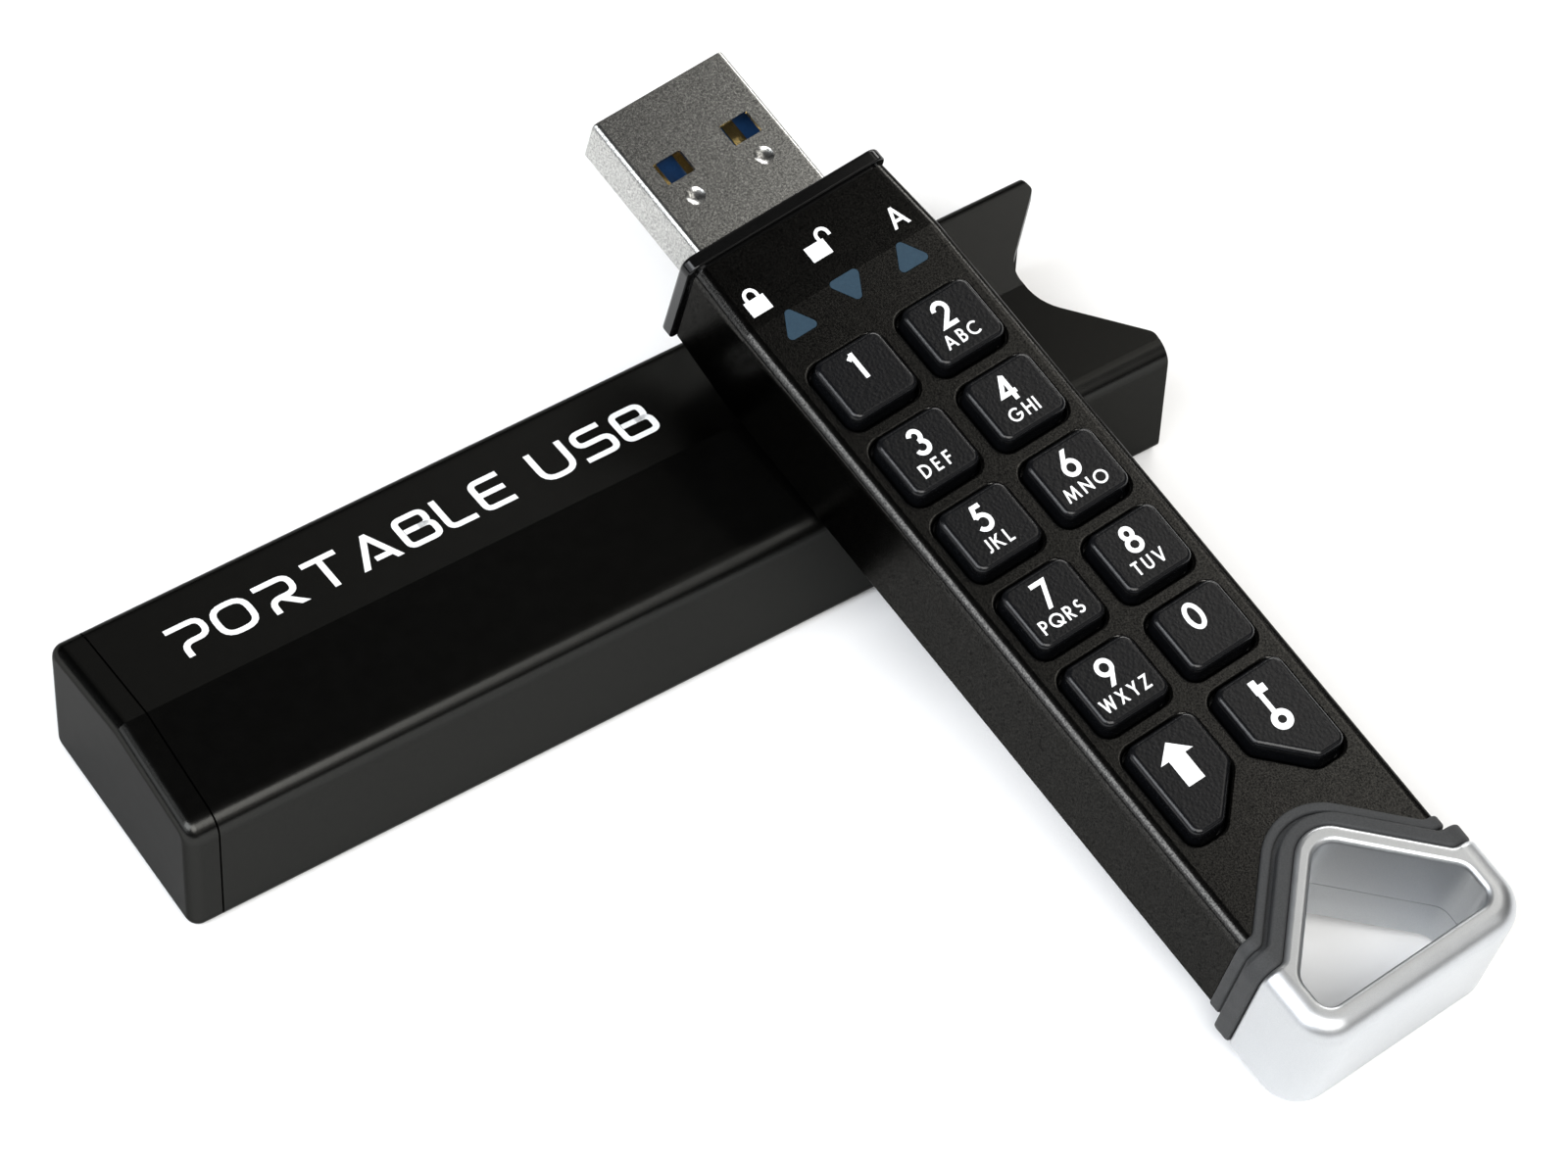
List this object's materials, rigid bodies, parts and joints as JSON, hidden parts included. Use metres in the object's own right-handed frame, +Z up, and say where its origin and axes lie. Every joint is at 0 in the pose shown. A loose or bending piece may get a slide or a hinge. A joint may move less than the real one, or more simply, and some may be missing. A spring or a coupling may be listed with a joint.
{
  "type": "usb flash drive",
  "caption": "Keypad-locked USB stick with plug, sprung keys, rubber seal and metal finger loop, lying across its notched protective sleeve.",
  "frame": {"origin": "middle of the sleeve's flat underside, which stands on the surface", "axes": "+Z up, +X along the sleeve towards its open mouth, +Y across the sleeve towards the plug end of the drive lying on it"},
  "size_m": [0.0826, 0.088, 0.0255],
  "materials": {
    "sleeve_black": "satin black anodised",
    "housing_black": "bead-blasted black anodised",
    "plate_gloss": "gloss black",
    "plug_steel": "satin plated steel",
    "tongue_blue": "moulded blue",
    "contact_gold": "gold flash",
    "inner_plastic": "moulded black",
    "loop_silver": "satin bare metal",
    "seal_rubber": "soft matte dark grey",
    "web_rubber": "matte black",
    "dome_steel": "bright",
    "lamp_white": "clear potting",
    "board_green": "solder mask",
    "chip_black": "moulded",
    "battery_foil": "foil pouch",
    "guide_slate": "tinted clear moulding",
    "key_black": "fine leather grain"
  },
  "bodies": {
    "sleeve": {"sleeve_tube": "sleeve_black", "sleeve_end_cap": "sleeve_black"},
    "drive": {"housing": "housing_black", "front_plate": "plate_gloss", "usb_shell": "plug_steel", "usb_tongue": "tongue_blue", "usb_contacts": "contact_gold", "usb_rear_block": "inner_plastic", "loop_end": "loop_silver", "seal_gasket": "seal_rubber", "keypad_web": "web_rubber", "dome_sheet": "dome_steel", "light_guide_locked": "guide_slate", "light_guide_unlocked": "guide_slate", "light_guide_activity": "guide_slate", "led_chips": "lamp_white", "inner_tray": "inner_plastic", "circuit_board": "board_green", "memory_chip": "chip_black", "controller_chip": "chip_black", "security_chip": "chip_black", "battery": "battery_foil"},
    "key_1": {"key_1": "key_black"},
    "key_3": {"key_3": "key_black"},
    "key_5": {"key_5": "key_black"},
    "key_7": {"key_7": "key_black"},
    "key_9": {"key_9": "key_black"},
    "key_arrow": {"key_arrow": "key_black"},
    "key_2": {"key_2": "key_black"},
    "key_4": {"key_4": "key_black"},
    "key_6": {"key_6": "key_black"},
    "key_8": {"key_8": "key_black"},
    "key_0": {"key_0": "key_black"},
    "key_unlock": {"key_unlock": "key_black"}
  },
  "joints": [
    {"name": "drive_lift", "type": "slide", "parent": "sleeve", "child": "drive", "axis": [0, 0, 1], "range_m": [0, 0.045]},
    {"name": "key_1_press", "type": "slide", "parent": "drive", "child": "key_1", "axis": [-0.021, 0.2068, -0.9781], "range_m": [0, 0.00035], "stiffness_N_per_m": 4000, "springref_m": -0.0001},
    {"name": "key_3_press", "type": "slide", "parent": "drive", "child": "key_3", "axis": [-0.021, 0.2068, -0.9781], "range_m": [0, 0.00035], "stiffness_N_per_m": 4000, "springref_m": -0.0001},
    {"name": "key_5_press", "type": "slide", "parent": "drive", "child": "key_5", "axis": [-0.021, 0.2068, -0.9781], "range_m": [0, 0.00035], "stiffness_N_per_m": 4000, "springref_m": -0.0001},
    {"name": "key_7_press", "type": "slide", "parent": "drive", "child": "key_7", "axis": [-0.021, 0.2068, -0.9781], "range_m": [0, 0.00035], "stiffness_N_per_m": 4000, "springref_m": -0.0001},
    {"name": "key_9_press", "type": "slide", "parent": "drive", "child": "key_9", "axis": [-0.021, 0.2068, -0.9781], "range_m": [0, 0.00035], "stiffness_N_per_m": 4000, "springref_m": -0.0001},
    {"name": "key_arrow_press", "type": "slide", "parent": "drive", "child": "key_arrow", "axis": [-0.021, 0.2068, -0.9781], "range_m": [0, 0.00035], "stiffness_N_per_m": 4000, "springref_m": -0.0001},
    {"name": "key_2_press", "type": "slide", "parent": "drive", "child": "key_2", "axis": [-0.021, 0.2068, -0.9781], "range_m": [0, 0.00035], "stiffness_N_per_m": 4000, "springref_m": -0.0001},
    {"name": "key_4_press", "type": "slide", "parent": "drive", "child": "key_4", "axis": [-0.021, 0.2068, -0.9781], "range_m": [0, 0.00035], "stiffness_N_per_m": 4000, "springref_m": -0.0001},
    {"name": "key_6_press", "type": "slide", "parent": "drive", "child": "key_6", "axis": [-0.021, 0.2068, -0.9781], "range_m": [0, 0.00035], "stiffness_N_per_m": 4000, "springref_m": -0.0001},
    {"name": "key_8_press", "type": "slide", "parent": "drive", "child": "key_8", "axis": [-0.021, 0.2068, -0.9781], "range_m": [0, 0.00035], "stiffness_N_per_m": 4000, "springref_m": -0.0001},
    {"name": "key_0_press", "type": "slide", "parent": "drive", "child": "key_0", "axis": [-0.021, 0.2068, -0.9781], "range_m": [0, 0.00035], "stiffness_N_per_m": 4000, "springref_m": -0.0001},
    {"name": "key_unlock_press", "type": "slide", "parent": "drive", "child": "key_unlock", "axis": [-0.021, 0.2068, -0.9781], "range_m": [0, 0.00035], "stiffness_N_per_m": 4000, "springref_m": -0.0001}
  ]
}
